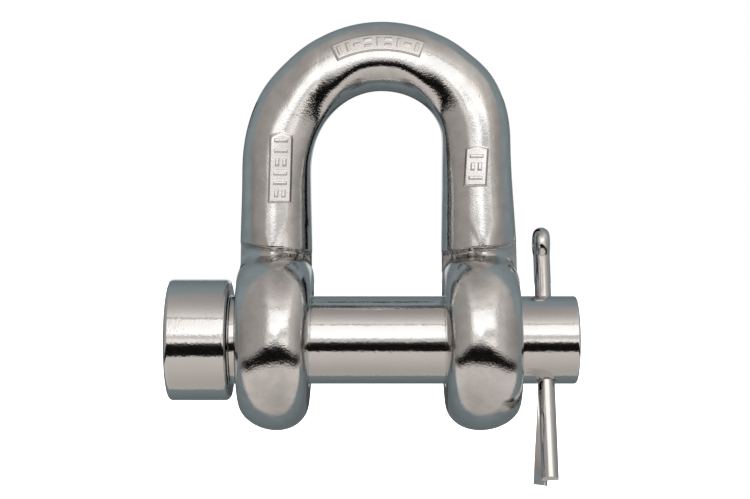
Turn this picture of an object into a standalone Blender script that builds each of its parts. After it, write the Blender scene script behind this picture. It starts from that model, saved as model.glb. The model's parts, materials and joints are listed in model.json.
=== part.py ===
"""Dee (chain) shackle: a forged bow, a headed clevis pin and a split cotter pin.

Metres, +Z up.  The origin is the crown seat, the point inside the crown where a hook bears.
The pin axis runs along X below it, with the pin's head on the -X side and the cotter on +X.
"""
from math import cos, pi, radians, sin

import bpy
import bmesh
from mathutils import Vector

# Bow
INSIDE_LENGTH = 0.0538
BAR_RADIUS_CROWN = 0.00745
BAR_RADIUS_SHOULDER = 0.00730
LEG_X = 0.02145
LEFT_FOOT_X = 0.0216
RIGHT_FOOT_X = 0.0222
LEFT_FOOT_RADIUS = 0.00775
RIGHT_FOOT_RADIUS = 0.00815
CROWN_OFFSET = 0.0011
LEFT_ARCH_HEIGHT = 0.0246
RIGHT_ARCH_HEIGHT = 0.0180

# Eyes at the feet of the bow
EYE_RADIUS = 0.0195
LEFT_EYE_INNER_X = 0.0140
RIGHT_EYE_INNER_X = 0.0146
EYE_THICKNESS = 0.0160
EYE_RIM_DEPTH = 0.0058
BORE_RADIUS = 0.0101
BORE_CHAMFER = 0.0005

# Clevis pin
PIN_RADIUS = 0.00952
HEAD_RADIUS = 0.01305
HEAD_LENGTH = 0.01335
HEAD_EDGE = 0.0009
HEAD_FRONT_EDGE = 0.0012
HEAD_FRONT_X = -0.0313
TIP_X = 0.0431
TIP_EDGE = 0.0004

# Split cotter and the hole it passes through
HOLE_RADIUS = 0.0021
HOLE_SINK_RADIUS = 0.0027
HOLE_X = 0.0364
COTTER_TILT = radians(-20.5)
WIRE_RADIUS = 0.00178
WIRE_HALF_GAP = 0.00007
LOOP_INNER_RADIUS = 0.0019
LOOP_NECK = 0.0190
LOOP_CENTRE = 0.0221
LEG_LENGTH = 0.0310
FRONT_LEG_SPREAD = 0.0006
BACK_LEG_SPREAD = 0.0036
BACK_LEG_SIDESTEP = 0.0021

# Fineness of the facets
BAR_SIDES = 24
TURN_STEPS = 48
CORNER_STEPS = 3
WIRE_SIDES = 9

PIN_Z = -INSIDE_LENGTH
LEFT_EYE_X = LEFT_EYE_INNER_X + EYE_THICKNESS / 2
RIGHT_EYE_X = RIGHT_EYE_INNER_X + EYE_THICKNESS / 2
CROWN_Z = BAR_RADIUS_CROWN

STEEL = (0.62, 0.61, 0.60, 1.0)
WIRE_STEEL = (0.66, 0.65, 0.63, 1.0)


def clear_scene():
    for obj in list(bpy.data.objects):
        bpy.data.objects.remove(obj, do_unlink=True)


def new_collection(name):
    collection = bpy.data.collections.new(name)
    bpy.context.scene.collection.children.link(collection)
    return collection


def steel(name, colour, roughness):
    material = bpy.data.materials.new(name)
    material.use_nodes = True
    shader = material.node_tree.nodes["Principled BSDF"]
    shader.inputs["Base Color"].default_value = colour
    shader.inputs["Metallic"].default_value = 1.0
    shader.inputs["Roughness"].default_value = roughness
    return material


def smoothstep(t):
    t = max(0.0, min(1.0, t))
    return t * t * (3 - 2 * t)


def make_cutter(obj):
    """A cutter shapes other objects and is not part of the shackle itself."""
    obj.hide_render = True
    obj.display_type = "WIRE"


def turned(name, profile, collection):
    """Turn (radius, height) points about local Z; the profile runs top to bottom."""
    mesh = bpy.data.meshes.new(name)
    points = [(r, 0.0, z) for r, z in profile]
    edges = [(i, i + 1) for i in range(len(points) - 1)]
    mesh.from_pydata(points, edges, [])
    obj = bpy.data.objects.new(name, mesh)
    collection.objects.link(obj)
    screw = obj.modifiers.new("Turn", "SCREW")
    screw.steps = TURN_STEPS
    screw.render_steps = TURN_STEPS
    screw.use_merge_vertices = True
    screw.merge_threshold = 1e-5
    screw.use_smooth_shade = True
    return obj


def rounded_corner(centre, radius, start, end):
    """Points on an arc about centre (radius, height), for a turned profile."""
    steps = range(CORNER_STEPS + 1)
    angles = [start + (end - start) * i / CORNER_STEPS for i in steps]
    return [(centre[0] + radius * cos(a), centre[1] + radius * sin(a)) for a in angles]


def curve_to_mesh(curve_object, name, collection):
    """Swap a curve object for a closed mesh with welded end caps."""
    graph = bpy.context.evaluated_depsgraph_get()
    mesh = bpy.data.meshes.new_from_object(curve_object.evaluated_get(graph))
    shape = bmesh.new()
    shape.from_mesh(mesh)
    bmesh.ops.remove_doubles(shape, verts=shape.verts, dist=1e-6)
    bmesh.ops.recalc_face_normals(shape, faces=shape.faces)
    shape.to_mesh(mesh)
    shape.free()
    obj = bpy.data.objects.new(name, mesh)
    obj.matrix_world = curve_object.matrix_world
    collection.objects.link(obj)
    bpy.data.objects.remove(curve_object, do_unlink=True)
    return obj


def swept_curve(name, points, collection):
    """A poly curve through (position, thickness factor) pairs."""
    data = bpy.data.curves.new(name, "CURVE")
    data.dimensions = "3D"
    data.use_fill_caps = True
    spline = data.splines.new("POLY")
    spline.points.add(len(points) - 1)
    for point, (place, thickness) in zip(spline.points, points):
        point.co = (*place, 1.0)
        point.radius = thickness
    obj = bpy.data.objects.new(name, data)
    collection.objects.link(obj)
    return obj


def add_boolean(obj, other, operation):
    cut = obj.modifiers.new(f"{operation} {other.name}", "BOOLEAN")
    cut.operation = operation
    cut.solver = "EXACT"
    cut.object = other


def leg_point(side, height):
    """Centre and radius of a leg at a height above the pin axis; the legs thicken downwards."""
    spring = INSIDE_LENGTH + CROWN_Z - (LEFT_ARCH_HEIGHT if side < 0 else RIGHT_ARCH_HEIGHT)
    foot = EYE_RADIUS * 0.75
    drop = smoothstep((spring - height) / (spring - foot))
    foot_x, foot_radius = (LEFT_FOOT_X, LEFT_FOOT_RADIUS) if side < 0 else (RIGHT_FOOT_X, RIGHT_FOOT_RADIUS)
    x = LEG_X + (foot_x - LEG_X) * drop
    radius = BAR_RADIUS_SHOULDER + (foot_radius - BAR_RADIUS_SHOULDER) * drop
    return Vector((side * x, 0.0, PIN_Z + height)), radius


def leg_points(side, count=8):
    """From inside the eye up to where the arch springs."""
    spring = INSIDE_LENGTH + CROWN_Z - (LEFT_ARCH_HEIGHT if side < 0 else RIGHT_ARCH_HEIGHT)
    start = EYE_RADIUS * 0.5
    return [leg_point(side, start + (spring - start) * i / count) for i in range(count)]


def arch_point(side, angle):
    """The crown is two quarter ellipses that meet at its top, a little off the middle."""
    height = LEFT_ARCH_HEIGHT if side < 0 else RIGHT_ARCH_HEIGHT
    half_width = LEG_X - side * CROWN_OFFSET
    x = CROWN_OFFSET + side * half_width * cos(angle)
    z = CROWN_Z - height * (1 - sin(angle))
    radius = BAR_RADIUS_SHOULDER + (BAR_RADIUS_CROWN - BAR_RADIUS_SHOULDER) * sin(angle) ** 4
    return Vector((x, 0.0, z)), radius


def bow_path():
    quarter = 11
    angles = [pi / 2 * i / quarter for i in range(quarter)]
    left = leg_points(-1) + [arch_point(-1, a) for a in angles]
    right = leg_points(1) + [arch_point(1, a) for a in angles]
    return left + [arch_point(1, pi / 2)] + right[::-1]


def bow_bar(collection):
    points = [(place, radius / BAR_RADIUS_CROWN) for place, radius in bow_path()]
    curve = swept_curve("bar", points, collection)
    curve.data.bevel_depth = BAR_RADIUS_CROWN
    curve.data.bevel_resolution = BAR_SIDES // 2 - 2
    return curve


def eye_profile():
    """Flat cheeks with a half-elliptical rim, as (radius, height) from the inner cheek."""
    half = EYE_THICKNESS / 2
    flat = EYE_RADIUS - EYE_RIM_DEPTH
    steps = 12
    rim = []
    for i in range(steps + 1):
        angle = pi / 2 - pi * i / steps
        rim.append((flat + EYE_RIM_DEPTH * cos(angle), half * sin(angle)))
    return [(0.0, half)] + rim + [(0.0, -half)]


def bore_profile():
    """A spool that cuts the bore and breaks its edge at both cheeks."""
    half = EYE_THICKNESS / 2
    flare = 0.001
    inner = (BORE_RADIUS, half - BORE_CHAMFER)
    outer = (BORE_RADIUS + BORE_CHAMFER + flare, half + flare)
    upper = [(0.0, outer[1]), outer, inner]
    return upper + [(r, -z) for r, z in reversed(upper)]


def make_bow(parts, cutters):
    bow = curve_to_mesh(bow_bar(parts), "bow", parts)
    shapes = [("eye", eye_profile(), "UNION"), ("bore", bore_profile(), "DIFFERENCE")]
    for kind, profile, operation in shapes:
        for side_name, eye_x in (("left", -LEFT_EYE_X), ("right", RIGHT_EYE_X)):
            shape = turned(f"{kind}_{side_name}", profile, cutters)
            shape.location = (eye_x, 0.0, PIN_Z)
            shape.rotation_euler = (0.0, pi / 2, 0.0)
            make_cutter(shape)
            add_boolean(bow, shape, operation)
    bow.data.shade_smooth()
    bow.data.set_sharp_from_angle(angle=radians(35))
    bow.data.materials.append(steel("forged_polished_steel", STEEL, 0.12))
    return bow


def pin_profile():
    """(radius, height) down from the tip to the head's end face; height is world X."""
    head_back = HEAD_FRONT_X - HEAD_LENGTH
    front_centre = (HEAD_RADIUS - HEAD_FRONT_EDGE, HEAD_FRONT_X - HEAD_FRONT_EDGE)
    back_centre = (HEAD_RADIUS - HEAD_EDGE, head_back + HEAD_EDGE)
    profile = [(0.0, TIP_X), (PIN_RADIUS - TIP_EDGE, TIP_X), (PIN_RADIUS, TIP_X - TIP_EDGE)]
    profile.append((PIN_RADIUS, HEAD_FRONT_X))
    profile += rounded_corner(front_centre, HEAD_FRONT_EDGE, pi / 2, 0.0)
    profile += rounded_corner(back_centre, HEAD_EDGE, 0.0, -pi / 2)
    profile.append((0.0, head_back))
    return profile


def hole_profile():
    """A long spool across the pin, wider where it breaks the surface at each mouth."""
    reach = PIN_RADIUS + 0.002
    sink_start = PIN_RADIUS - (HOLE_SINK_RADIUS - HOLE_RADIUS)
    sink_end = HOLE_RADIUS + reach - sink_start
    upper = [(0.0, reach), (sink_end, reach), (HOLE_RADIUS, sink_start)]
    return upper + [(r, -z) for r, z in reversed(upper)]


def make_pin(parts, cutters, pin_axis):
    pin = turned("clevis_pin", pin_profile(), parts)
    pin.parent = pin_axis
    pin.rotation_euler = (0.0, pi / 2, 0.0)
    hole = turned("cotter_hole", hole_profile(), cutters)
    hole.parent = pin_axis
    hole.location = (HOLE_X, 0.0, 0.0)
    make_cutter(hole)
    add_boolean(pin, hole, "DIFFERENCE")
    pin.data.materials.append(steel("turned_polished_steel", STEEL, 0.15))
    return pin


def wire_profile(cutters):
    """The wire's half-round section: flat side at the origin, back towards local +Y."""
    data = bpy.data.curves.new("wire_section", "CURVE")
    data.dimensions = "2D"
    spline = data.splines.new("POLY")
    spline.points.add(WIRE_SIDES)
    for i, point in enumerate(spline.points):
        angle = pi * i / WIRE_SIDES
        point.co = (WIRE_RADIUS * cos(angle), WIRE_RADIUS * sin(angle), 0.0, 1.0)
    spline.use_cyclic_u = True
    section = bpy.data.objects.new("wire_section", data)
    cutters.objects.link(section)
    make_cutter(section)
    return section


def cotter_leg(side, spread, sidestep, count=8):
    """From the leg's end up to the hole's mouth; local +Z runs up the hole."""
    points = []
    for i in range(count):
        down = LEG_LENGTH - (LEG_LENGTH - PIN_RADIUS) * i / count
        bend = ((down - PIN_RADIUS) / (LEG_LENGTH - PIN_RADIUS)) ** 1.4
        points.append(Vector((sidestep * bend, side * (WIRE_HALF_GAP + spread * bend), -down)))
    return points


def cotter_shank(side):
    """Straight through the pin, then opening out to the loop."""
    points = []
    for height in (-PIN_RADIUS, 0.0, PIN_RADIUS, LOOP_NECK):
        points.append(Vector((0.0, side * WIRE_HALF_GAP, height)))
    steps = 6
    for i in range(1, steps):
        height = LOOP_NECK + (LOOP_CENTRE - LOOP_NECK) * i / steps
        open_out = (LOOP_INNER_RADIUS - WIRE_HALF_GAP) * smoothstep(i / steps)
        points.append(Vector((0.0, side * (WIRE_HALF_GAP + open_out), height)))
    return points


def cotter_loop(steps=12):
    points = []
    for i in range(steps + 1):
        angle = pi - pi * i / steps
        y = LOOP_INNER_RADIUS * cos(angle)
        z = LOOP_CENTRE + LOOP_INNER_RADIUS * sin(angle)
        points.append(Vector((0.0, y, z)))
    return points


def cotter_path():
    """The front leg is on the -Y side, the back leg on +Y."""
    front = cotter_leg(-1, FRONT_LEG_SPREAD, 0.0) + cotter_shank(-1)
    back = cotter_leg(1, BACK_LEG_SPREAD, -BACK_LEG_SIDESTEP) + cotter_shank(1)
    return front + cotter_loop() + back[::-1]


def make_cotter(parts, cutters, pin_axis):
    curve = swept_curve("wire", [(place, 1.0) for place in cotter_path()], parts)
    curve.data.bevel_mode = "OBJECT"
    curve.data.bevel_object = wire_profile(cutters)
    cotter = curve_to_mesh(curve, "cotter_pin", parts)
    cotter.parent = pin_axis
    cotter.location = (HOLE_X, 0.0, 0.0)
    cotter.data.shade_smooth()
    cotter.data.set_sharp_from_angle(angle=radians(35))
    cotter.data.materials.append(steel("cotter_wire_steel", WIRE_STEEL, 0.2))
    return cotter


def main():
    clear_scene()
    parts = new_collection("dee_shackle")
    cutters = new_collection("cutters")
    pin_axis = bpy.data.objects.new("pin_axis", None)
    pin_axis.location = (0.0, 0.0, PIN_Z)
    pin_axis.rotation_euler = (COTTER_TILT, 0.0, 0.0)
    parts.objects.link(pin_axis)
    make_bow(parts, cutters)
    make_pin(parts, cutters, pin_axis)
    make_cotter(parts, cutters, pin_axis)


main()
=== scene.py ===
"""Dee shackle: finely finished surfaces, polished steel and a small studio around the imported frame.

Metres, +Z up, the pin axis along X.  The camera looks along +Y from the -Y side.
"""
import json
from math import cos, pi, radians, sin, tan

import bmesh
import bpy
import numpy as np
from mathutils import Matrix, Vector


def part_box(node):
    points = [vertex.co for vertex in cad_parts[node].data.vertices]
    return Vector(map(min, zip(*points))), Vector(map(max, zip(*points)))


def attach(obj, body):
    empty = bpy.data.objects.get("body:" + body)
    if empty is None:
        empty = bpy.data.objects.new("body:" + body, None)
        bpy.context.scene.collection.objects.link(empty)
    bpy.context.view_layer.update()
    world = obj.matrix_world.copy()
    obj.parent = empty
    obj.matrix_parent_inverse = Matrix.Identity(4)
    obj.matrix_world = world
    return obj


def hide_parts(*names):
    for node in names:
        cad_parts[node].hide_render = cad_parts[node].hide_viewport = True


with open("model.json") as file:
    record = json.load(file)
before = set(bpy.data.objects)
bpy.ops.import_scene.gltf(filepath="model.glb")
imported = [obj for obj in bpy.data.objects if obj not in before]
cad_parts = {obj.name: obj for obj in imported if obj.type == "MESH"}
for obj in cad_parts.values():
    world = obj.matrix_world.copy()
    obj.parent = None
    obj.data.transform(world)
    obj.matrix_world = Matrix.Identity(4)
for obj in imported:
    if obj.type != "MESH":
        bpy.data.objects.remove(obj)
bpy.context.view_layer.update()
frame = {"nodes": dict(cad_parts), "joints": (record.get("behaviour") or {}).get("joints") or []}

MM = 0.001

# Where the frame's parts are
joints = {joint["name"]: joint for joint in frame["joints"]}
PIN_Z = joints["pin_turn"]["pos_m"][2]
BOW_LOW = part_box("bow")[0]
PIN_LOW, PIN_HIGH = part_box("clevis_pin")
COTTER_LOW, COTTER_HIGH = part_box("cotter_pin")

# Bow, as in the frame
INSIDE_LENGTH = -PIN_Z
BAR_RADIUS_CROWN = 7.45 * MM
BAR_RADIUS_SHOULDER = 7.30 * MM
LEG_X = 21.45 * MM
CROWN_OFFSET = 1.1 * MM
EYE_RADIUS = PIN_Z - BOW_LOW.z
EYE_RIM_DEPTH = 5.8 * MM
BORE_RADIUS = 10.1 * MM

# What differs between the two sides: the arch, the leg's foot, and the eye, whose middle
# and half thickness also change a little with height above the pin axis
ARCH_HEIGHT = {-1: 24.6 * MM, 1: 18.0 * MM}
FOOT_X = {-1: 21.6 * MM, 1: 22.2 * MM}
FOOT_RADIUS = {-1: 7.75 * MM, 1: 8.15 * MM}
EYE_X = {-1: 21.9 * MM, 1: 22.65 * MM}
EYE_LEAN = {-1: -0.012, 1: -0.018}
EYE_HALF = {-1: 7.80 * MM, 1: 8.00 * MM}
EYE_TAPER = {-1: 0.022, 1: 0.0}
EYE_CREST = 0.7 * MM
BORE_EASE = 0.8 * MM

# The waist between each leg and its eye: a wedge whose ridge faces front and back
LEG_END = 20.0 * MM
LEG_END_TILT = 0.13
LEG_END_ROUND = 0.4 * MM
NECK_RIDGE = 7.9 * MM
NECK_FLANK = 7.3 * MM
NECK_RIDGE_ROUND = 0.12
NECK_RIDGE_ASIDE = 0.05
NECK_WAIST = 18.2 * MM
NECK_WAIST_SLOPE = 0.35
NECK_EASE = 0.5 * MM
NECK_BOTTOM = 15 * MM
NECK_TOP = 21 * MM

# How widely leg, waist and eye run into each other at the inner cheek, and how much more at the outer
LEG_BLEND = 0.4 * MM
LEG_BLEND_GROWTH = 2.0 * MM
EYE_BLEND = 0.5 * MM
EYE_BLEND_GROWTH = 2.5 * MM

# A soft ridge along the lower front of the crown, which runs to the inside of the shoulders;
# it turns, grows and fades between these distances from the crown's middle
RIDGE_HEIGHT = 0.20 * MM
RIDGE_GROWTH = 0.40 * MM
RIDGE_ANGLE = radians(-25)
RIDGE_TURN = radians(-32)
RIDGE_WIDTH = radians(18)
RIDGE_TURNS = (3 * MM, 23 * MM)
RIDGE_GROWS = (4 * MM, 14 * MM)
RIDGE_FADES = (26 * MM, 42 * MM)

# Pin, as in the frame but for a slightly rounder edge at its tip and a fillet under its head
PIN_RADIUS = 9.52 * MM
HEAD_RADIUS = 13.05 * MM
HEAD_LENGTH = 13.35 * MM
HEAD_EDGE = 0.9 * MM
HEAD_FRONT_EDGE = 1.2 * MM
HEAD_FILLET = 0.15 * MM
TIP_EDGE = 0.5 * MM
PIN_STEPS = 192

# Cotter and its hole, as in the frame but for a smaller flare, twisted legs and eased corners
COTTER_TILT = radians(-20.5)
WIRE_RADIUS = 1.78 * MM
HOLE_X = COTTER_HIGH.x - WIRE_RADIUS
HOLE_RADIUS = 2.1 * MM
HOLE_SINK = 2.45 * MM
HOLE_STEPS = 64
WIRE_CORNER = 0.22 * MM
WIRE_HALF_GAP = 0.07 * MM
LOOP_INNER_RADIUS = 1.9 * MM
LOOP_NECK = 19.0 * MM
LOOP_CENTRE = 22.1 * MM
LEG_LENGTH = 31.0 * MM
FRONT_LEG_SPREAD = 0.6 * MM
BACK_LEG_SPREAD = 3.6 * MM
BACK_LEG_SIDESTEP = 2.1 * MM
FRONT_TWIST = radians(12)
BACK_TWIST = radians(-55)
END_CUT = tan(radians(30))

VOXEL = 0.45 * MM


def smoothstep(low, high, value):
    t = np.clip((value - low) / (high - low), 0.0, 1.0)
    return t * t * (3 - 2 * t)


def smooth_min(a, b, blend):
    overlap = np.maximum(blend - np.abs(a - b), 0.0)
    return np.minimum(a, b) - overlap**2 / (4 * blend)


def smooth_max(a, b, blend):
    return -smooth_min(-a, -b, blend)


# ---------------------------------------------------------------- bow


def leg_samples(side, heights):
    """Centre and radius of a leg at heights above the pin axis, as in the frame."""
    spring = INSIDE_LENGTH + BAR_RADIUS_CROWN - ARCH_HEIGHT[side]
    drop = smoothstep(0.0, 1.0, (spring - heights) / (spring - 0.75 * EYE_RADIUS))
    x = side * (LEG_X + (FOOT_X[side] - LEG_X) * drop)
    radius = BAR_RADIUS_SHOULDER + (FOOT_RADIUS[side] - BAR_RADIUS_SHOULDER) * drop
    return np.stack([x, PIN_Z + heights, radius], axis=1), spring


def arch_samples(side, angles):
    """The crown is two quarter ellipses that meet at its top, a little off the middle."""
    x = CROWN_OFFSET + side * (LEG_X - side * CROWN_OFFSET) * np.cos(angles)
    z = BAR_RADIUS_CROWN - ARCH_HEIGHT[side] * (1 - np.sin(angles))
    radius = BAR_RADIUS_SHOULDER + (BAR_RADIUS_CROWN - BAR_RADIUS_SHOULDER) * np.sin(angles) ** 4
    return np.stack([x, z, radius], axis=1)


class Centreline:
    """The bar's centreline from the left eye over the crown to the right eye, evenly sampled."""

    SPACING = 0.25 * MM

    def __init__(self):
        halves = []
        for side in (-1, 1):
            spring = leg_samples(side, np.zeros(1))[1]
            leg = leg_samples(side, np.linspace(2 * MM, spring, 400, endpoint=False))[0]
            arch = arch_samples(side, np.linspace(0, pi / 2, 400))
            halves.append(np.concatenate([leg, arch]))
        points = np.concatenate([halves[0], halves[1][-2::-1]])
        steps = np.hypot(*np.diff(points[:, :2], axis=0).T)
        length = np.concatenate([[0.0], np.cumsum(steps)])
        count = int(length[-1] / self.SPACING)
        even = np.arange(count) * self.SPACING
        x, z, radius = (self.soften(np.interp(even, length, column)) for column in points.T)
        tangent = np.stack([np.gradient(x), np.gradient(z)], axis=1)
        tangent /= np.linalg.norm(tangent, axis=1)[:, None]
        turn = np.gradient(tangent, self.SPACING, axis=0)
        curve = -turn[:, 0] * tangent[:, 1] + turn[:, 1] * tangent[:, 0]
        self.table = np.column_stack([x, z, tangent, curve, radius])
        self.length = even[-1]

    def soften(self, values, sigma=1.2 * MM):
        """A short blur takes the kink out where the legs meet the crown."""
        reach = int(3 * sigma / self.SPACING)
        kernel = np.exp(-0.5 * (np.arange(-reach, reach + 1) * self.SPACING / sigma) ** 2)
        padded = np.pad(values, reach, mode="reflect", reflect_type="odd")
        return np.convolve(padded, kernel / kernel.sum(), mode="valid")

    def at(self, distance):
        place = np.clip(distance / self.SPACING, 0, len(self.table) - 1.001)
        index = place.astype(int)
        share = (place - index)[:, None]
        return self.table[index] * (1 - share) + self.table[index + 1] * share

    def nearest(self, x, z, start=None):
        """Distance along the line of the point nearest to each (x, z)."""
        if start is None:
            coarse = self.table[::4, :2]
            points = np.stack([x, z], axis=1)
            gap = (coarse**2).sum(axis=1)[None, :] - 2 * points @ coarse.T
            start = np.argmin(gap, axis=1) * 4 * self.SPACING
        distance = start
        for _ in range(4):
            cx, cz, tx, tz, curve, _radius = self.at(distance).T
            along = (x - cx) * tx + (z - cz) * tz
            outward = -(x - cx) * tz + (z - cz) * tx
            distance = distance + along / np.maximum(1 - curve * outward, 0.3)
            distance = np.clip(distance, 0, self.length)
        return distance


line = Centreline()
CROWN_MIDDLE = line.nearest(np.array([0.4 * MM]), np.array([BAR_RADIUS_CROWN]))[0]


def outward_of_line(x, z, distance):
    """How far points lie outside the centreline, in the bow's own plane."""
    cx, cz, tx, tz = line.at(distance).T[:4]
    return -(x - cx) * tz + (z - cz) * tx


def box_distance(u, v, half_u, half_v):
    """Signed distance to a rectangle."""
    du, dv = np.abs(u) - half_u, np.abs(v) - half_v
    outside = np.hypot(np.maximum(du, 0), np.maximum(dv, 0))
    return outside + np.minimum(np.maximum(du, dv), 0)


def plateau(distance, width):
    """1 well inside an outline, 0 outside it, over a bevel of a given width."""
    return smoothstep(0.0, 1.0, -distance / width)


def bars_on_pad(u, v, bars, bevel):
    """Raised plain bars; each is (centre u, centre v, half width, half height)."""
    rise = np.zeros_like(u)
    for centre_u, centre_v, half_u, half_v in bars:
        shape = box_distance(u - centre_u * MM, v - centre_v * MM, half_u * MM, half_v * MM)
        rise = np.maximum(rise, plateau(shape, bevel))
    return rise


# The marking pads, with plain bars that spell nothing
PAD_LIFT = 0.17 * MM
PAD_BARS_LIFT = 0.11 * MM
PAD_BEVEL = 0.50 * MM
PAD_TOP_BEVEL = 0.35 * MM
PAD_PEAK = 0.9 * MM
PAD_FLATTEN = 0.6
PAD_MARGIN = 0.9
BAR_BEVEL = 0.30 * MM

# Sizes in millimetres; each bar is (centre u, centre v, half width, half height)
LEG_PADS = {
    -1: {
        "centre": (-20.3, 37.0),
        "half": (2.5, 7.7),
        "slant": 0.028,
        "bars": [(0, 5.6, 1.5, 0.45), (0, 3.4, 1.5, 0.45), (-0.7, 1.0, 0.5, 0.9), (0.8, 1.0, 0.5, 0.9),
                 (0, -1.4, 1.5, 0.45), (0, -3.4, 1.5, 0.45), (-0.7, -5.6, 0.5, 0.9), (0.8, -5.6, 0.5, 0.9)],
    },
    1: {
        "centre": (21.1, 37.3),
        "half": (2.5, 4.5),
        "slant": 0.06,
        "bars": [(0, 2.0, 1.5, 0.45), (-0.7, -0.2, 0.5, 0.9), (0.8, -0.2, 0.5, 0.9), (0, -2.6, 1.5, 0.45)],
    },
}
CROWN_PAD_ANGLE = radians(17.5)
CROWN_PAD_SPAN = 0.44
CROWN_PAD_HALF = (2.0, 8.9)
CROWN_PAD_BARS = [(0.0, -7.6, 1.1, 0.45), (0.0, -5.8, 1.1, 0.45), (0.0, -4.0, 0.45, 0.8),
                  (0.7, -1.9, 0.4, 0.8), (-0.7, -1.9, 0.4, 0.8), (0.0, 0.1, 1.1, 0.45),
                  (0.7, 2.0, 0.4, 0.8), (-0.7, 2.0, 0.4, 0.8), (0.0, 4.0, 1.1, 0.45),
                  (0.0, 5.8, 0.45, 0.8), (0.0, 7.6, 1.1, 0.45)]


def pad_outline(u, v, pad):
    """A rectangle with a low pointed top."""
    half_u, half_v = (size * MM for size in pad["half"])
    top = v - (half_v - PAD_PEAK * np.abs(u) / half_u)
    return np.maximum(box_distance(u, v, half_u, half_v), top * 0.95)


def pad_rise(x, y, z, across, distance):
    """How far the marking pads stand out of the bar at each point."""
    rise = np.zeros_like(x)
    front = y < 0
    for side, pad in LEG_PADS.items():
        centre_x, centre_z = pad["centre"][0] * MM, PIN_Z + pad["centre"][1] * MM
        near = front & (np.abs(x - centre_x) < 4 * MM) & (np.abs(z - centre_z) < 10 * MM)
        v = (z - centre_z)[near]
        u = (x - centre_x)[near] - v * pad["slant"]
        flatten = u**2 / (2 * BAR_RADIUS_SHOULDER) * PAD_FLATTEN
        at_top = v > 0.8 * pad["half"][1] * MM
        body = plateau(pad_outline(u, v, pad), PAD_BEVEL + PAD_TOP_BEVEL * at_top)
        bars = bars_on_pad(u, v, pad["bars"], BAR_BEVEL)
        rise[near] = body * (PAD_LIFT + flatten) + bars * PAD_BARS_LIFT
    angle = np.arctan2(across, -y)
    near = front & (np.abs(distance - CROWN_MIDDLE) < 13 * MM) & (np.abs(angle - CROWN_PAD_ANGLE) < 0.6)
    u = (angle[near] - CROWN_PAD_ANGLE) * BAR_RADIUS_CROWN
    v = distance[near] - CROWN_MIDDLE
    outline = box_distance(u, v, *(size * MM for size in CROWN_PAD_HALF))
    flatten = u**2 / (2 * BAR_RADIUS_CROWN) * PAD_FLATTEN
    bars = bars_on_pad(u, v, CROWN_PAD_BARS, BAR_BEVEL)
    rise[near] = plateau(outline, PAD_BEVEL) * (PAD_LIFT + flatten) + bars * PAD_BARS_LIFT
    return rise


def by_side(x, pair):
    return np.where(x < 0, pair[-1], pair[1])


def eye_field(x, y, z):
    """A disc on the pin axis with flat cheeks and a half-elliptical rim, whose crest lies inwards."""
    side = np.where(x < 0, -1.0, 1.0)
    height = z - PIN_Z
    outward = side * x - by_side(x, EYE_X) - by_side(x, EYE_LEAN) * height
    half = by_side(x, EYE_HALF) + by_side(x, EYE_TAPER) * height
    outward = outward + EYE_CREST * np.maximum(1 - (outward / half) ** 2, 0)
    rho = np.hypot(y, height)
    out = np.maximum(rho - (EYE_RADIUS - EYE_RIM_DEPTH), 0.0)
    k0 = np.hypot(out / EYE_RIM_DEPTH, outward / half) + 1e-9
    k1 = np.hypot(out / EYE_RIM_DEPTH**2, outward / half**2) + 1e-9
    return k0 * (k0 - 1) / k1, outward / half, rho


def crown_ridge(y, across, distance):
    """How far the lower front of the crown stands out."""
    angle = np.arctan2(across, -y)
    away = np.abs(distance - CROWN_MIDDLE)
    crest = RIDGE_ANGLE + RIDGE_TURN * smoothstep(*RIDGE_TURNS, away)
    height = RIDGE_HEIGHT + RIDGE_GROWTH * smoothstep(*RIDGE_GROWS, away)
    height = height * (1 - smoothstep(*RIDGE_FADES, away))
    return height * np.exp(-(((angle - crest) / RIDGE_WIDTH) ** 2))


def bow_field(points, distance):
    """Negative inside the forging; zero on its surface."""
    x, y, z = points.T
    height = z - PIN_Z
    cx, cz, tx, tz, _curve, radius = line.at(distance).T
    across = -(x - cx) * tz + (z - cz) * tx
    offset = np.hypot(x - cx, z - cz)
    proud = pad_rise(x, y, z, across, distance) + crown_ridge(y, across, distance)
    tube = np.hypot(offset, y) - radius - proud
    end = LEG_END + LEG_END_TILT * across - height
    leg = smooth_max(tube, end, LEG_END_ROUND)
    ridge = NECK_RIDGE + NECK_WAIST_SLOPE * np.maximum(height - NECK_WAIST, 0)
    from_ridge = np.hypot(across / radius - NECK_RIDGE_ASIDE, NECK_RIDGE_ROUND)
    flank = (np.abs(y) - ridge + NECK_FLANK * from_ridge) / np.hypot(1, NECK_FLANK / radius)
    neck = smooth_max(flank, tube, NECK_EASE)
    eye, outer, rho = eye_field(x, y, z)
    edge = np.clip(1 - outer**4, 0.1, 1)
    body = smooth_min(leg, neck, (LEG_BLEND + LEG_BLEND_GROWTH * smoothstep(-0.2, 0.6, outer)) * edge)
    body = smooth_min(body, eye, (EYE_BLEND + EYE_BLEND_GROWTH * smoothstep(-0.3, 0.6, outer)) * edge)
    return smooth_max(body, BORE_RADIUS - rho, BORE_EASE)


def bow_slope(points, distance, step=0.01 * MM):
    """Gradient of the field by central differences."""
    slope = np.empty_like(points)
    for axis in range(3):
        ahead, behind = points.copy(), points.copy()
        ahead[:, axis] += step
        behind[:, axis] -= step
        near_ahead = line.nearest(ahead[:, 0], ahead[:, 2], distance)
        near_behind = line.nearest(behind[:, 0], behind[:, 2], distance)
        slope[:, axis] = (bow_field(ahead, near_ahead) - bow_field(behind, near_behind)) / (2 * step)
    return slope


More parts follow.
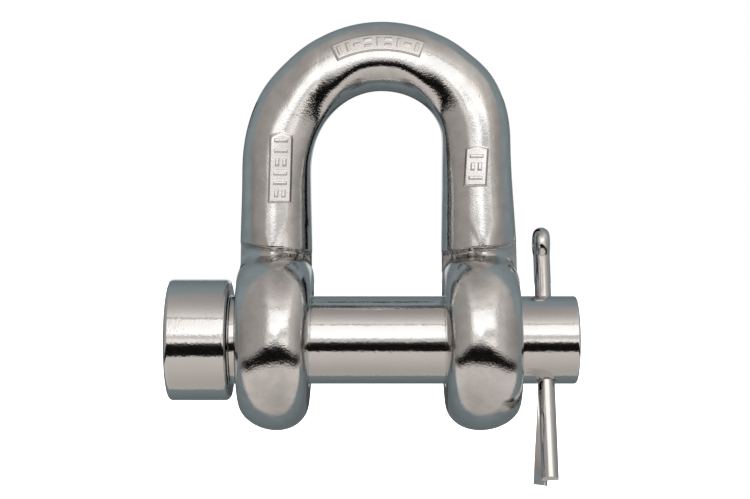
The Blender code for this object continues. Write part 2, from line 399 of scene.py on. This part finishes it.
def settle_on_bow(points, rounds):
    """Move points onto the zero surface; also gives the outward direction there."""
    for _ in range(rounds):
        distance = line.nearest(points[:, 0], points[:, 2])
        slope = bow_slope(points, distance)
        size = np.maximum((slope**2).sum(axis=1), 0.2)
        move = bow_field(points, distance) / size
        points = points - slope * np.clip(move, -0.8 * MM, 0.8 * MM)[:, None]
    distance = line.nearest(points[:, 0], points[:, 2])
    slope = bow_slope(points, distance)
    return points, slope / np.linalg.norm(slope, axis=1)[:, None]


def mesh_points(mesh):
    points = np.empty(len(mesh.vertices) * 3)
    mesh.vertices.foreach_get("co", points)
    return points.reshape(-1, 3)


def set_mesh_points(mesh, points):
    mesh.vertices.foreach_set("co", points.ravel())
    mesh.update()


def evaluated_copy(obj, name):
    """A mesh with the object's modifiers applied."""
    graph = bpy.context.evaluated_depsgraph_get()
    mesh = bpy.data.meshes.new_from_object(obj.evaluated_get(graph))
    mesh.name = name
    return mesh


def add_object(name, mesh):
    obj = bpy.data.objects.new(name, mesh)
    bpy.context.scene.collection.objects.link(obj)
    return obj


def near_pads(centre):
    """Whether a point on the surface is on or beside a marking pad."""
    if centre.y > 0:
        return False
    for pad in LEG_PADS.values():
        across = abs(centre.x - pad["centre"][0] * MM)
        along = abs(centre.z - PIN_Z - pad["centre"][1] * MM)
        half_u, half_v = ((size + PAD_MARGIN) * MM for size in pad["half"])
        if across < half_u and along < half_v:
            return True
    distance = line.nearest(np.array([centre.x]), np.array([centre.z]))
    across = outward_of_line(centre.x, centre.z, distance)[0]
    angle = np.arctan2(across, -centre.y)
    along = abs(distance[0] - CROWN_MIDDLE)
    return abs(angle - CROWN_PAD_ANGLE) < CROWN_PAD_SPAN and along < (CROWN_PAD_HALF[1] + PAD_MARGIN) * MM


def near_neck(centre):
    """Whether a point on the surface is in or beside the waist above an eye."""
    return NECK_BOTTOM < centre.z - PIN_Z < NECK_TOP


def refine(mesh, chosen, cuts):
    """Split the faces whose middles are chosen."""
    shape = bmesh.new()
    shape.from_mesh(mesh)
    faces = [face for face in shape.faces if chosen(face.calc_center_median())]
    edges = list({edge for face in faces for edge in face.edges})
    bmesh.ops.subdivide_edges(shape, edges=edges, cuts=cuts, use_grid_fill=True)
    shape.to_mesh(mesh)
    shape.free()


def mark_pads(mesh, points):
    """An attribute that is 1 on the marking pads, whose ground is duller than the bar."""
    x, y, z = points.T
    distance = line.nearest(x, z)
    rise = pad_rise(x, y, z, outward_of_line(x, z, distance), distance)
    share = smoothstep(0.2, 0.8, rise / PAD_LIFT)
    mesh.attributes.new("pad", "FLOAT", "POINT").data.foreach_set("value", share)


def make_bow():
    source = frame["nodes"]["bow"]
    obj = add_object("bow_forging", source.data.copy())
    for _ in range(2):
        remesh = obj.modifiers.new("Remesh", "REMESH")
        remesh.mode = "VOXEL"
        remesh.voxel_size = VOXEL
        obj.data = evaluated_copy(obj, "bow_forging")
        obj.modifiers.clear()
        points, _normals = settle_on_bow(mesh_points(obj.data), 5)
        set_mesh_points(obj.data, points)
    refine(obj.data, near_pads, 3)
    refine(obj.data, near_neck, 1)
    points, normals = settle_on_bow(mesh_points(obj.data), 5)
    set_mesh_points(obj.data, points)
    mark_pads(obj.data, points)
    obj.data.shade_smooth()
    obj.data.normals_split_custom_set_from_vertices([tuple(normal) for normal in normals])
    obj.data.materials.clear()
    obj.data.materials.append(forged_steel())
    return obj


# ---------------------------------------------------------------- pin


def full_turn(steps):
    return [2 * pi * i / steps for i in range(steps)]


def ring_faces(rings, size):
    """The faces between rings of points, one ring after another."""
    faces = []
    for first in range(0, (rings - 1) * size, size):
        for i in range(size):
            j = (i + 1) % size
            faces.append((first + i, first + j, first + size + j, first + size + i))
    return faces


def end_faces(rings, size):
    """The faces that close the first and the last ring."""
    last = (rings - 1) * size
    return [tuple(range(size))[::-1], tuple(range(last, last + size))]


def closed_mesh(name, verts, faces):
    """A mesh with all its faces pointing out."""
    mesh = bpy.data.meshes.new(name)
    mesh.from_pydata(verts, [], faces)
    shape = bmesh.new()
    shape.from_mesh(mesh)
    bmesh.ops.recalc_face_normals(shape, faces=shape.faces)
    shape.to_mesh(mesh)
    shape.free()
    return mesh


def lathe(name, profile, steps):
    """Turn (x, radius) points about the pin axis; the profile runs from tip to head end."""
    verts = [(x, r * cos(a), PIN_Z + r * sin(a)) for x, r in profile for a in full_turn(steps)]
    faces = ring_faces(len(profile), steps) + end_faces(len(profile), steps)
    return add_object(name, closed_mesh(name, verts, faces))


def corner(x, r, radius, start, end, steps=6):
    """Points on an arc about (x, r); angles in degrees, 0 along +X, 90 away from the axis."""
    angles = [radians(start + (end - start) * i / steps) for i in range(steps + 1)]
    return [(x + radius * cos(a), r + radius * sin(a)) for a in angles]


def pin_profile():
    tip, head_end = PIN_HIGH.x, PIN_LOW.x
    head_front = head_end + HEAD_LENGTH
    profile = [(tip, 0.4 * PIN_RADIUS)]
    profile += corner(tip - TIP_EDGE, PIN_RADIUS - TIP_EDGE, TIP_EDGE, 0, 90)
    barrel = np.linspace(tip - TIP_EDGE, head_front, 60)[1:-1]
    profile += [(x, PIN_RADIUS) for x in barrel]
    profile += [(head_front + HEAD_FILLET, PIN_RADIUS), (head_front, PIN_RADIUS + HEAD_FILLET)]
    profile += corner(head_front - HEAD_FRONT_EDGE, HEAD_RADIUS - HEAD_FRONT_EDGE, HEAD_FRONT_EDGE, 0, 90)
    middle = (head_front + head_end) / 2
    profile += [(middle + 2 * MM, HEAD_RADIUS), (middle, HEAD_RADIUS), (middle - 2 * MM, HEAD_RADIUS)]
    profile += corner(head_end + HEAD_EDGE, HEAD_RADIUS - HEAD_EDGE, HEAD_EDGE, 90, 180)
    profile.append((head_end, 0.4 * HEAD_RADIUS))
    return profile


def hole_cutter():
    """A spool across the pin, flared where it breaks the surface at each mouth."""
    reach, mouth = PIN_RADIUS + 1.5 * MM, HOLE_SINK + 1.2 * MM
    flare = PIN_RADIUS - 0.55 * MM
    rows = [(-reach, mouth), (-flare, HOLE_RADIUS), (flare, HOLE_RADIUS), (reach, mouth)]
    verts = [(r * cos(a), r * sin(a), z) for z, r in rows for a in full_turn(HOLE_STEPS)]
    faces = end_faces(len(rows), HOLE_STEPS) + ring_faces(len(rows), HOLE_STEPS)
    cutter = add_object("hole_cutter", closed_mesh("hole_cutter", verts, faces))
    cutter.matrix_world = Matrix.Translation((HOLE_X, 0, PIN_Z)) @ Matrix.Rotation(COTTER_TILT, 4, "X")
    return cutter


def true_round_normals(mesh, radii):
    """Exact normals on the turned barrels, so that reflections run straight beside the hole."""
    points = mesh_points(mesh)
    rho = np.hypot(points[:, 1], points[:, 2] - PIN_Z)
    radial = np.stack([np.zeros_like(rho), points[:, 1], points[:, 2] - PIN_Z], axis=1) / rho[:, None]
    on_barrel = np.zeros(len(rho), bool)
    for radius in radii:
        on_barrel |= np.abs(rho - radius) < 2e-6
    normals = []
    for polygon in mesh.polygons:
        for index in polygon.vertices:
            level = abs(polygon.normal.x) < 0.02
            facing = float(np.dot(radial[index], polygon.normal)) > 0.98
            keep = on_barrel[index] and level and facing
            normals.append(tuple(radial[index]) if keep else (0.0, 0.0, 0.0))
    mesh.normals_split_custom_set(normals)


def make_pin():
    obj = lathe("pin_turning", pin_profile(), PIN_STEPS)
    cutter = hole_cutter()
    cut = obj.modifiers.new("Hole", "BOOLEAN")
    cut.operation = "DIFFERENCE"
    cut.solver = "EXACT"
    cut.object = cutter
    obj.data = evaluated_copy(obj, "pin_turning")
    obj.modifiers.clear()
    bpy.data.objects.remove(cutter, do_unlink=True)
    obj.data.shade_smooth()
    obj.data.set_sharp_from_angle(angle=radians(28))
    true_round_normals(obj.data, (PIN_RADIUS, HEAD_RADIUS))
    obj.data.materials.clear()
    obj.data.materials.append(turned_steel())
    return obj


# ---------------------------------------------------------------- cotter


def wire_section(count=40):
    """A half-round section with eased corners; flat side at v = 0, back towards +v."""
    inner = WIRE_RADIUS - WIRE_CORNER
    points = []
    for i in range(7):
        a = radians(-90 + 75 * i / 6)
        points.append((inner + WIRE_CORNER * cos(a), WIRE_CORNER + WIRE_CORNER * sin(a)))
    for i in range(1, count):
        a = pi * i / count
        points.append((WIRE_RADIUS * cos(a), WIRE_CORNER + WIRE_RADIUS * sin(a)))
    for i in range(7):
        a = radians(195 + 75 * i / 6)
        points.append((-inner + WIRE_CORNER * cos(a), WIRE_CORNER + WIRE_CORNER * sin(a)))
    squeeze = WIRE_RADIUS / (WIRE_RADIUS + WIRE_CORNER)
    return [(u, v * squeeze) for u, v in points]


def cotter_leg(side, spread, sidestep, count=60):
    """Points from the leg's end up to the hole's mouth, with the twist at each."""
    rows = []
    for i in range(count):
        down = LEG_LENGTH - (LEG_LENGTH - PIN_RADIUS) * i / count
        share = (down - PIN_RADIUS) / (LEG_LENGTH - PIN_RADIUS)
        bend = share**1.4
        place = Vector((sidestep * bend, side * (WIRE_HALF_GAP + spread * bend), -down))
        rows.append((place, share))
    return rows


def cotter_path():
    """(place, share down the front leg, share down the back leg) from front end to back end."""
    rows = [(place, share, 0.0) for place, share in cotter_leg(-1, FRONT_LEG_SPREAD, 0.0)]
    rise = np.linspace(-PIN_RADIUS, LOOP_CENTRE, 60, endpoint=False)
    shank = []
    for height in rise:
        opening = smoothstep(LOOP_NECK, LOOP_CENTRE, height) * (LOOP_INNER_RADIUS - WIRE_HALF_GAP)
        shank.append((WIRE_HALF_GAP + opening, height))
    rows += [(Vector((0, -gap, height)), 0.0, 0.0) for gap, height in shank]
    for i in range(33):
        angle = pi - pi * i / 32
        place = Vector((0, LOOP_INNER_RADIUS * cos(angle), LOOP_CENTRE + LOOP_INNER_RADIUS * sin(angle)))
        rows.append((place, 0.0, 0.0))
    rows += [(Vector((0, gap, height)), 0.0, 0.0) for gap, height in reversed(shank)]
    back = cotter_leg(1, BACK_LEG_SPREAD, -BACK_LEG_SIDESTEP)
    rows += [(place, 0.0, share) for place, share in reversed(back)]
    return rows


def sweep_wire(rows, section):
    """The wire's section carried along its path, with its flat side turned by each leg's twist."""
    verts = []
    last = len(rows) - 1
    for index, (place, front, back) in enumerate(rows):
        before, after = rows[max(index - 1, 0)][0], rows[min(index + 1, last)][0]
        along = (after - before).normalized()
        wide = Vector((1, 0, 0))
        wide = (wide - along * wide.dot(along)).normalized()
        bulge = wide.cross(along)
        turn = FRONT_TWIST * front**2 + BACK_TWIST * back**1.5
        wide, bulge = wide * cos(turn) + bulge * sin(turn), bulge * cos(turn) - wide * sin(turn)
        for u, v in section:
            cut = v * END_CUT if index == 0 else 0.0
            verts.append(tuple(place + wide * u + bulge * v + along * cut))
    return verts


def make_cotter():
    rows = cotter_path()
    section = wire_section()
    faces = ring_faces(len(rows), len(section)) + end_faces(len(rows), len(section))
    mesh = closed_mesh("cotter_wire", sweep_wire(rows, section), faces)
    mesh.transform(Matrix.Translation((HOLE_X, 0, PIN_Z)) @ Matrix.Rotation(COTTER_TILT, 4, "X"))
    obj = add_object("cotter_wire", mesh)
    mesh.shade_smooth()
    mesh.set_sharp_from_angle(angle=radians(40))
    mesh.materials.append(wire_steel())
    return obj


# ---------------------------------------------------------------- shader helpers


class Value:
    """A shader value that adds, multiplies and compares like a number."""

    def __init__(self, tree, socket):
        self.tree = tree
        self.socket = socket

    def math(self, operation, *others, clamp=False):
        node = self.tree.nodes.new("ShaderNodeMath")
        node.operation = operation
        node.use_clamp = clamp
        for slot, value in enumerate((self, *others)):
            if isinstance(value, Value):
                self.tree.links.new(value.socket, node.inputs[slot])
            else:
                node.inputs[slot].default_value = value
        return Value(self.tree, node.outputs[0])

    def __add__(self, other):
        return self.math("ADD", other)

    def __sub__(self, other):
        return self.math("SUBTRACT", other)

    def __mul__(self, other):
        return self.math("MULTIPLY", other)

    def __truediv__(self, other):
        return self.math("DIVIDE", other)

    def __pow__(self, other):
        return self.math("POWER", other)

    def __neg__(self):
        return self.math("MULTIPLY", -1.0)

    def max(self, other):
        return self.math("MAXIMUM", other)

    def min(self, other):
        return self.math("MINIMUM", other)

    def abs(self):
        return self.math("ABSOLUTE")

    def ramp(self, low, high, out_low=0.0, out_high=1.0):
        """Smooth change from one value to another between two thresholds."""
        node = self.tree.nodes.new("ShaderNodeMapRange")
        node.interpolation_type = "SMOOTHSTEP"
        for name, value in (("Value", self), ("From Min", low), ("From Max", high),
                            ("To Min", out_low), ("To Max", out_high)):
            if isinstance(value, Value):
                self.tree.links.new(value.socket, node.inputs[name])
            else:
                node.inputs[name].default_value = value
        return Value(self.tree, node.outputs[0])


def mix_colour(tree, share, first, second):
    """Colours or colour sockets, mixed by a share."""
    node = tree.nodes.new("ShaderNodeMix")
    node.data_type = "RGBA"
    slots = [socket for socket in node.inputs if socket.type == "RGBA"]
    for slot, colour in zip(slots, (first, second)):
        if isinstance(colour, tuple):
            slot.default_value = (*colour, 1.0)
        else:
            tree.links.new(colour, slot)
    tree.links.new(share.socket, node.inputs["Factor"])
    return [socket for socket in node.outputs if socket.type == "RGBA"][0]


def tint(tree, value, colour):
    """A grey value times a colour."""
    node = tree.nodes.new("ShaderNodeVectorMath")
    node.operation = "SCALE"
    node.inputs[0].default_value = colour
    tree.links.new(value.socket, node.inputs["Scale"])
    return node.outputs[0]


# ---------------------------------------------------------------- materials


def new_material(name):
    material = bpy.data.materials.new(name)
    material.use_nodes = True
    tree = material.node_tree
    shader = tree.nodes["Principled BSDF"]
    shader.inputs["Metallic"].default_value = 1.0
    place = tree.nodes.new("ShaderNodeTexCoord").outputs["Object"]
    return material, tree, shader, place


def noise(tree, place, scale, detail=2.0, roughness=0.5, stretch=None):
    """Noise of a given scale per metre, optionally stretched along an axis."""
    if stretch is not None:
        mapping = tree.nodes.new("ShaderNodeMapping")
        mapping.inputs["Scale"].default_value = stretch
        tree.links.new(place, mapping.inputs["Vector"])
        place = mapping.outputs[0]
    node = tree.nodes.new("ShaderNodeTexNoise")
    node.inputs["Scale"].default_value = scale
    node.inputs["Detail"].default_value = detail
    node.inputs["Roughness"].default_value = roughness
    tree.links.new(place, node.inputs["Vector"])
    return Value(tree, node.outputs[0])


def bump(tree, height, distance, under=None):
    """Height times distance is in metres."""
    node = tree.nodes.new("ShaderNodeBump")
    node.inputs["Strength"].default_value = 1.0
    node.inputs["Distance"].default_value = distance
    tree.links.new(height.socket, node.inputs["Height"])
    if under is not None:
        tree.links.new(under, node.inputs["Normal"])
    return node.outputs[0]


def forged_steel():
    material, tree, shader, place = new_material("forged_polished_steel")
    swell = noise(tree, place, 260.0, 1.0)
    grain = noise(tree, place, 2600.0, 2.0, 0.6)
    pits = noise(tree, place, 620.0, 0.0).ramp(0.20, 0.15)
    normal = bump(tree, swell, 0.045 * MM)
    normal = bump(tree, grain, 0.026 * MM, normal)
    normal = bump(tree, pits, -0.015 * MM, normal)
    tree.links.new(normal, shader.inputs["Normal"])
    cloud = noise(tree, place, 330.0, 4.0, 0.6)
    colour = mix_colour(tree, cloud.ramp(0.3, 0.7), (0.575, 0.565, 0.557), (0.665, 0.655, 0.645))
    mark = tree.nodes.new("ShaderNodeAttribute")
    mark.attribute_name = "pad"
    pad = Value(tree, mark.outputs["Fac"])
    colour = mix_colour(tree, pad, colour, (0.72, 0.70, 0.69))
    tree.links.new(colour, shader.inputs["Base Color"])
    tree.links.new((cloud.ramp(0.3, 0.7, 0.05, 0.10) + pad * 0.20).socket, shader.inputs["Roughness"])
    return material


def turned_steel():
    material, tree, shader, place = new_material("turned_polished_steel")
    rings = noise(tree, place, 1.0, 2.0, 0.6, stretch=(5200.0, 90.0, 90.0))
    ripple = noise(tree, place, 1.0, 2.0, 0.55, stretch=(2200.0, 1600.0, 1600.0))
    normal = bump(tree, rings, 0.0012 * MM)
    normal = bump(tree, ripple, 0.022 * MM, normal)
    tree.links.new(normal, shader.inputs["Normal"])
    cloud = noise(tree, place, 160.0, 2.0)
    colour = mix_colour(tree, cloud.ramp(0.3, 0.7), (0.61, 0.602, 0.595), (0.63, 0.62, 0.612))
    tree.links.new(colour, shader.inputs["Base Color"])
    split = tree.nodes.new("ShaderNodeSeparateXYZ")
    tree.links.new(place, split.inputs[0])
    x = Value(tree, split.outputs[0])
    head_end = x.ramp(PIN_LOW.x + 0.1 * MM, PIN_LOW.x + 0.02 * MM)
    tip_end = x.ramp(PIN_HIGH.x - 0.1 * MM, PIN_HIGH.x - 0.02 * MM)
    roughness = rings.ramp(0.3, 0.7, 0.05, 0.1) + head_end.max(tip_end) * 0.3
    tree.links.new(roughness.socket, shader.inputs["Roughness"])
    return material


def wire_steel():
    material, tree, shader, place = new_material("drawn_wire_steel")
    draw = noise(tree, place, 1.0, 2.0, 0.6, stretch=(3000.0, 300.0, 150.0))
    swell = noise(tree, place, 420.0, 1.0)
    normal = bump(tree, swell, 0.02 * MM)
    normal = bump(tree, draw, 0.004 * MM, normal)
    tree.links.new(normal, shader.inputs["Normal"])
    colour = mix_colour(tree, draw.ramp(0.3, 0.7), (0.63, 0.615, 0.605), (0.67, 0.655, 0.64))
    tree.links.new(colour, shader.inputs["Base Color"])
    tree.links.new(draw.ramp(0.3, 0.7, 0.08, 0.16).socket, shader.inputs["Roughness"])
    return material


# ---------------------------------------------------------------- studio


TENT_HALF_SIZE = (250 * MM, 380 * MM, 300 * MM)
FLOOR_HALF_SIZE = 2.5


def white_world():
    world = bpy.data.worlds.new("studio")
    bpy.context.scene.world = world
    world.use_nodes = True
    world.node_tree.nodes["Background"].inputs["Color"].default_value = (1.0, 1.0, 1.0, 1.0)


def make_tent():
    """A light tent around the object, which only shows in its polished steel."""
    mesh = bpy.data.meshes.new("light_tent")
    shape = bmesh.new()
    bmesh.ops.create_uvsphere(shape, u_segments=96, v_segments=48, radius=1.0)
    bmesh.ops.scale(shape, vec=TENT_HALF_SIZE, verts=shape.verts)
    shape.to_mesh(mesh)
    shape.free()
    tent = add_object("light_tent", mesh)
    tent.location = (0.0, 0.0, PIN_Z)
    show_only_in_steel(tent)
    mesh.materials.append(tent_cloth())


def show_only_in_steel(obj):
    obj.visible_camera = False
    obj.visible_diffuse = False
    obj.visible_shadow = False


def tent_cloth():
    """White card up front, dark slit below it, pale table, and a blue-grey board behind."""
    material = bpy.data.materials.new("tent_cloth")
    material.use_nodes = True
    material.cycles.emission_sampling = "NONE"
    tree = material.node_tree
    tree.nodes.remove(tree.nodes["Principled BSDF"])
    emission = tree.nodes.new("ShaderNodeEmission")
    tree.links.new(emission.outputs[0], tree.nodes["Material Output"].inputs["Surface"])
    x, y, z = tent_direction(tree)
    front = -y
    degrees_of = 180 / pi
    azimuth = x.math("ARCTAN2", front) * degrees_of
    elevation = z.math("ARCSINE") * degrees_of
    colour = tent_glow(tree, x.math("ARCSINE") * degrees_of, elevation)
    colour = tent_card(tree, colour, x, front, azimuth, elevation)
    colour = tent_slit_and_table(tree, colour, azimuth.abs(), elevation)
    colour = tent_board(tree, colour, y, z)
    colour = tent_back(tree, colour, x, y, z)
    tree.links.new(colour, emission.inputs["Color"])
    return material


def tent_direction(tree):
    """Where a point of the tent lies, seen from its middle: the x, y and z of a unit vector."""
    place = tree.nodes.new("ShaderNodeTexCoord").outputs["Object"]
    direction = tree.nodes.new("ShaderNodeVectorMath")
    direction.operation = "NORMALIZE"
    tree.links.new(place, direction.inputs[0])
    split = tree.nodes.new("ShaderNodeSeparateXYZ")
    tree.links.new(direction.outputs[0], split.inputs[0])
    return [Value(tree, split.outputs[axis]) for axis in range(3)]


def tent_glow(tree, sideways, elevation):
    """Around the card: a step down at each side, then a slow fall; a quicker fall above."""
    left = sideways.ramp(-12.0, -30.0, 0.0, 34.0) + (-sideways - 30.0).max(0.0) * 0.35
    right = sideways.ramp(28.0, 40.0, 0.0, 20.0) + (sideways - 45.0).max(0.0) * 1.1
    above = (elevation - 39.0).max(0.0)
    away = (left.max(right) ** 2.0 + above**2.0).math("SQRT")
    glow = ((away / -20.0).math("EXPONENT") * 1.09 + 0.30) * sideways.ramp(-60.0, -85.0, 1.0, 0.8)
    return tint(tree, glow, (1.0, 0.945, 0.895))


def tent_card(tree, colour, x, front, azimuth, elevation):
    """A thin dark rim above the card, then the card itself, shaded along its lower edge."""
    aside = azimuth.abs()
    u = x / front.max(0.05)
    inside = u.ramp(-0.33, -0.26) * u.ramp(0.66, 0.56) * front.ramp(0.1, 0.2)
    rim = elevation.ramp(40.0, 40.6) * elevation.ramp(43.4, 42.0) * aside.ramp(60.0, 30.0)
    colour = mix_colour(tree, rim * 0.75, colour, (0.25, 0.235, 0.225))
    lower = aside.ramp(4.0, 12.0, -4.0, 1.5)
    card = inside * ((elevation - lower) / 6.0).ramp(0.0, 1.0) * elevation.ramp(40.4, 39.4)
    full = azimuth.ramp(4.0, 10.0, 4.6, 13.0) + azimuth.ramp(-4.0, -10.0, 0.0, 5.0)
    bright = ((elevation - full) / 3.5).ramp(0.0, 1.0, 0.80, 1.72) * elevation.ramp(10.0, 40.0, 1.0, 0.88)
    return mix_colour(tree, card, colour, tint(tree, bright, (1.0, 0.995, 0.985)))


def tent_slit_and_table(tree, colour, aside, elevation):
    """A dark slit below the card, less deep at the sides, and the pale table below that."""
    top = aside.ramp(3.0, 62.0, -1.6, -15.5)
    bottom = aside.ramp(60.0, 105.0, -27.0, -20.0)
    softness = aside.ramp(5.0, 25.0, 2.6, 1.2)
    below_top = ((elevation - top) / softness).ramp(1.0, -1.0)
    fade = aside.ramp(4.0, 25.0, 9.0, 3.0)
    deepest = aside.ramp(68.0, 92.0, 0.008, 0.16)
    depth_in_band = ((elevation - top) / fade).ramp(0.0, -1.0, deepest.max(0.10), deepest)
    colour = mix_colour(tree, below_top, colour, tint(tree, depth_in_band, (1.0, 0.93, 0.9)))
    table = (elevation - bottom).ramp(0.6, -0.6)
    steep = (elevation / 90.0).abs()
    pale = steep.ramp(0.25, 1.0, 0.81, 0.56)
    return mix_colour(tree, table, colour, tint(tree, pale, (1.0, 0.935, 0.88)))


def tent_board(tree, colour, y, z):
    """A board behind, darker towards its middle where the object shades it."""
    low = (-z).max(0.0) ** 2.0
    high = z.max(0.0) ** 2.0
    edge = low * 0.24 + high * 0.10 + 0.01
    soft = high * 0.17 + 0.02
    board_share = ((y - edge) / soft).ramp(-1.0, 1.0)
    board = y.ramp(0.25, 0.95, 1.0, 0.62) * z.ramp(-0.3, 0.3, 0.84, 1.08)
    return mix_colour(tree, board_share, colour, tint(tree, board, (0.290, 0.345, 0.365)))


def tent_back(tree, colour, x, y, z):
    """A small lamp and a dark strip straight behind, for the views from the back."""
    back = y.max(0.05)
    bu, bv = (x / back).abs(), z / back
    behind = y.ramp(0.80, 0.87) * bu.ramp(0.44, 0.34)
    lamp = behind * bv.ramp(0.04, 0.16) * bv.ramp(0.46, 0.34)
    strip = behind * bv.ramp(-0.26, -0.22) * bv.ramp(0.0, -0.03)
    colour = mix_colour(tree, lamp, colour, (0.75, 0.77, 0.78))
    return mix_colour(tree, strip, colour, (0.07, 0.08, 0.08))


def matt_material(name, roughness, scale, dark, light):
    """A grey without shine, faintly mottled between two levels."""
    material = bpy.data.materials.new(name)
    material.use_nodes = True
    tree = material.node_tree
    shader = tree.nodes["Principled BSDF"]
    shader.inputs["Roughness"].default_value = roughness
    shader.inputs["Specular IOR Level"].default_value = 0.0
    place = tree.nodes.new("ShaderNodeTexCoord").outputs["Object"]
    fleck = noise(tree, place, scale, 2.0)
    colour = mix_colour(tree, fleck, (dark, dark, dark), (light, light, light))
    tree.links.new(colour, shader.inputs["Base Color"])
    return material


def add_panel(name, corners, material):
    mesh = bpy.data.meshes.new(name)
    mesh.from_pydata(corners, [], [(0, 1, 2, 3)])
    mesh.materials.append(material)
    return add_object(name, mesh)


def make_floor():
    """A white floor a little below the cotter's end."""
    height = COTTER_LOW.z - 10 * MM
    low, high = -FLOOR_HALF_SIZE, FLOOR_HALF_SIZE
    corners = [(low, low, height), (high, low, height), (high, high, height), (low, high, height)]
    floor = add_panel("floor", corners, matt_material("white_floor", 0.9, 40.0, 0.90, 0.92))
    floor.visible_glossy = False


def add_shadow_panel(name, corners):
    """A small black panel that only shows as a dark line in the polished steel: painted shadow, in place of
    the object's shadow on the board behind.
    """
    shadow_card = add_panel(name, corners, matt_material(name, 1.0, 60.0, 0.004, 0.008))
    show_only_in_steel(shadow_card)


def make_shadow_panels():
    """Painted shadow of the bow on the board, seen only in the steel: panels behind the legs, and above and
    behind the pin.
    """
    low, high = PIN_Z + 15 * MM, PIN_Z + 55 * MM
    # Black panels for the legs' painted shadow on the board behind
    sides = (("right_flag", 32 * MM, 9.7 * MM, 33 * MM), ("left_flag", -32 * MM, 7 * MM, 19 * MM))
    for name, x, near, far in sides:
        add_shadow_panel(name, [(x, near, low), (x, far, low), (x, far, high), (x, near, high)])
    # A black panel for the crown's painted shadow on the board, as seen from the top of the pin
    level = PIN_Z + 60 * MM
    corners = ((-14, 22), (14, 22), (14, 27), (-14, 27))
    add_shadow_panel("pin_flag", [(x * MM, y * MM, level) for x, y in corners])


def make_lamp():
    """A very soft overhead light; only the floor answers to it."""
    light = bpy.data.lights.new("soft_lamp", "SUN")
    light.angle = radians(120)
    light.energy = 4.4
    lamp = bpy.data.objects.new("soft_lamp", light)
    lamp.visible_glossy = False
    bpy.context.scene.collection.objects.link(lamp)


def make_camera():
    camera = bpy.data.cameras.new("camera")
    camera.lens = 76.8
    camera.sensor_width = 36.0
    camera.clip_start = 0.01
    obj = bpy.data.objects.new("camera", camera)
    obj.location = (-0.3 * MM, -346 * MM, -34.3 * MM)
    obj.rotation_euler = (pi / 2, 0.0, 0.0)
    bpy.context.scene.collection.objects.link(obj)
    bpy.context.scene.camera = obj


def main():
    bpy.context.scene.view_settings.view_transform = "Standard"
    make_camera()
    white_world()
    make_tent()
    make_floor()
    make_shadow_panels()
    make_lamp()
    pieces = (
        (make_bow(), "bow", "bow", "forged_steel"),
        (make_pin(), "pin", "clevis_pin", "turned_steel"),
        (make_cotter(), "cotter", "cotter_pin", "wire_steel"),
    )
    for piece, body, node, slot in pieces:
        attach(piece, body)
        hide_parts(node)


main()
